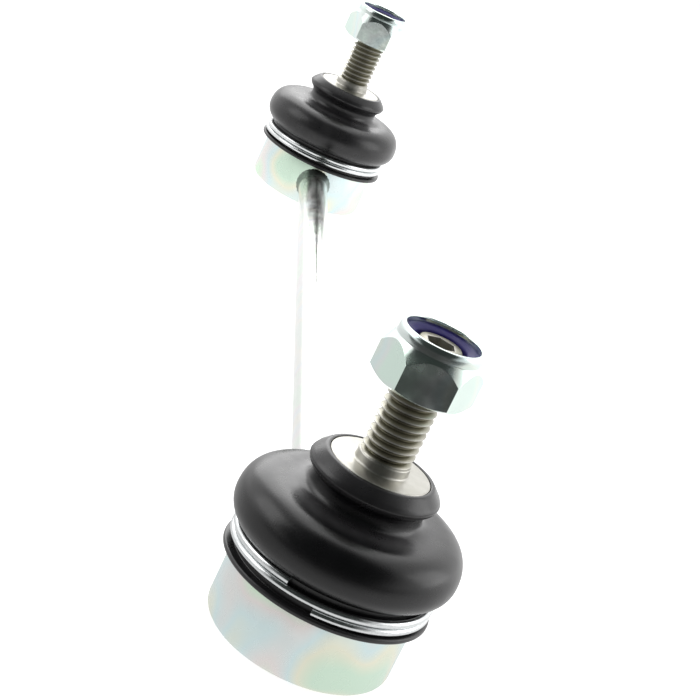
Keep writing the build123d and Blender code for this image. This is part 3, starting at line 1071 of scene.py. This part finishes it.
class LINK_OT_stage(Operator):
    """Add the floor, the world, the lights and the camera"""

    bl_idname = "link.stage"
    bl_label = "Stage"

    FLOOR_REACH = 6.0
    # What the floor adds to the light on it, towards the camera, to look white where no shadow falls
    FLOOR_GLOW = 0.63
    SENSOR_WIDTH = 36.0

    def execute(self, context):
        settings = context.scene.link_stage
        context.scene.view_settings.view_transform = "Standard"
        self.add_floor(settings)
        self.light_world(context.scene, settings)
        self.add_lights(settings)
        self.add_camera(context.scene, settings)
        return {"FINISHED"}

    def add_floor(self, settings):
        """White floor that keeps the link's shadow and grows dark in reflections towards the dark side."""
        front = Vector(settings.dark_side).xy.to_3d().normalized()
        mesh = bmesh.new()
        bmesh.ops.create_grid(mesh, x_segments=1, y_segments=1, size=self.FLOOR_REACH)
        data = bpy.data.meshes.new("floor")
        mesh.to_mesh(data)
        mesh.free()
        material, tree, shader = blank_material("White Floor", Roughness=0.9, Specular_IOR_Level=0.0)
        shader.inputs["Emission Color"].default_value = (1, 1, 1, 1)
        path = node(tree, "LightPath")
        place = node(tree, "TexCoord").outputs["Object"]
        from_joint = node(tree, "VectorMath", {0: place, 1: axis_place("bar_end")}, operation="SUBTRACT")
        ahead = node(tree, "VectorMath", {0: from_joint.outputs[0], 1: front}, operation="DOT_PRODUCT")
        across = node(tree, "SeparateXYZ", {0: place}).outputs["Y"]
        lit = carried(tree, ahead.outputs["Value"], (-0.45, 1.3), (0.02, 0.85))
        end = carried(tree, ahead.outputs["Value"], (0.06, 1.0), (0.13, 0.075))
        side = carried(tree, across, (-0.06, 1.2), (0.06, 0.87))
        mirrored = product(tree, product(tree, lit, end), side)
        glow = node(
            tree, "Mix", {"Factor": path.outputs["Is Glossy Ray"], "A": 0.0, "B": mirrored},
            data_type="FLOAT",
        )
        seen = node(
            tree, "Mix",
            {"Factor": path.outputs["Is Camera Ray"], "A": glow.outputs["Result"], "B": self.FLOOR_GLOW},
            data_type="FLOAT",
        )
        tone = ramp(tree, path.outputs["Is Glossy Ray"], [(0.0, (0.9, 0.9, 0.9)), (1.0, (0, 0, 0))])
        feed(tree, shader, Base_Color=tone, Emission_Strength=seen.outputs["Result"])
        data.materials.append(material)
        floor = bpy.data.objects.new("floor", data)
        bpy.context.scene.collection.objects.link(floor)

    def light_world(self, scene, settings):
        """Even sky: white to the camera, and in reflections nearly black towards the dark side."""
        world = bpy.data.worlds.new("Studio")
        world.use_nodes = True
        tree = world.node_tree
        tree.nodes.clear()
        path = node(tree, "LightPath")
        looking = node(tree, "TexCoord").outputs["Generated"]
        darkest = Vector(settings.dark_side).normalized()
        facing = node(
            tree, "VectorMath", {0: looking, 1: darkest}, operation="DOT_PRODUCT"
        ).outputs["Value"]
        reflected = ramp(tree, facing, [(0.40, (1, 1, 1)), (0.66, (0.03, 0.036, 0.034))])
        brightness = carried(tree, facing, (-0.5, 1.4), (0.3, 1.0))
        even = self.background(tree, (1, 1, 1, 1), settings.sky_light)
        white = self.background(tree, (1, 1, 1, 1), 1.0)
        mirrored = self.background(tree, reflected, brightness)
        glossy = node(tree, "MixShader", {0: path.outputs["Is Glossy Ray"], 1: even, 2: mirrored})
        final = node(tree, "MixShader", {0: path.outputs["Is Camera Ray"], 1: glossy.outputs[0], 2: white})
        node(tree, "OutputWorld", {"Surface": final.outputs[0]})
        scene.world = world

    def background(self, tree, shade, strength):
        """Sky of a colour and a strength; each is a value or the socket that feeds it."""
        return node(tree, "Background", {"Color": shade, "Strength": strength}).outputs[0]

    def add_lights(self, settings):
        """Soft lights at both sides, behind and overhead, all turned to the bar end's joint."""
        joint_height = 0.03
        aim = axis_place("bar_end") + Vector((0, 0, joint_height))
        lamps = (
            ("Left Light", (-0.05, 0.70, 0.40), 0.5, settings.side_light),
            ("Right Light", (-0.05, -0.70, 0.36), 0.5, settings.side_light),
            ("Back Light", (0.65, 0.15, 0.45), 0.6, settings.back_light),
            ("Top Light", (0.30, 0.0, 0.85), 0.7, settings.top_light),
        )
        for name, place, size, power in lamps:
            data = bpy.data.lights.new(name, "AREA")
            data.size = size
            data.energy = power
            lamp = bpy.data.objects.new(name, data)
            lamp.location = place
            lamp.visible_camera = False
            lamp.rotation_euler = (aim - Vector(place)).to_track_quat("-Z", "Y").to_euler()
            bpy.context.scene.collection.objects.link(lamp)

    def add_camera(self, scene, settings):
        """Long-lens camera beside the bar end, turned about its line of sight."""
        data = bpy.data.cameras.new("Camera")
        data.lens = settings.camera_lens
        data.sensor_width = self.SENSOR_WIDTH
        camera = bpy.data.objects.new("Camera", data)
        camera.location = settings.camera_place
        sight = Vector(settings.camera_aim) - Vector(settings.camera_place)
        roll = Quaternion((0, 0, 1), settings.camera_roll)
        camera.rotation_mode = "QUATERNION"
        camera.rotation_quaternion = sight.to_track_quat("-Z", "Y") @ roll
        scene.collection.objects.link(camera)
        scene.camera = camera


class LINK_PT_panel(Panel):
    """Sizes, finishes and builders of the link"""

    bl_idname = "LINK_PT_panel"
    bl_label = "Anti-Roll-Bar Link"
    bl_space_type = "VIEW_3D"
    bl_region_type = "UI"
    bl_category = "Link"

    def draw(self, context):
        layout = self.layout
        for group in (context.scene.link_sizes, context.scene.link_finish, context.scene.link_stage):
            box = layout.box()
            for name in group.bl_rna.properties.keys():
                if name not in ("rna_type", "name"):
                    box.prop(group, name)
        for builder in BUILDERS:
            layout.operator(builder.bl_idname)


BUILDERS = (
    LINK_OT_housings,
    LINK_OT_rod,
    LINK_OT_studs,
    LINK_OT_boots,
    LINK_OT_wire_rings,
    LINK_OT_lock_nuts,
    LINK_OT_ball_seats,
    LINK_OT_stage,
)
CLASSES = (LinkSizes, LinkFinish, LinkStage, *BUILDERS, LINK_PT_panel)


def register():
    for cls in CLASSES:
        bpy.utils.register_class(cls)
    bpy.types.Scene.link_sizes = PointerProperty(type=LinkSizes)
    bpy.types.Scene.link_finish = PointerProperty(type=LinkFinish)
    bpy.types.Scene.link_stage = PointerProperty(type=LinkStage)


def unregister():
    del bpy.types.Scene.link_stage
    del bpy.types.Scene.link_finish
    del bpy.types.Scene.link_sizes
    for cls in reversed(CLASSES):
        bpy.utils.unregister_class(cls)


def main():
    register()
    bpy.ops.link.housings()
    bpy.ops.link.rod()
    bpy.ops.link.studs()
    bpy.ops.link.boots()
    bpy.ops.link.wire_rings()
    bpy.ops.link.lock_nuts()
    bpy.ops.link.ball_seats()
    bpy.ops.link.stage()


if __name__ == "__main__":
    main()
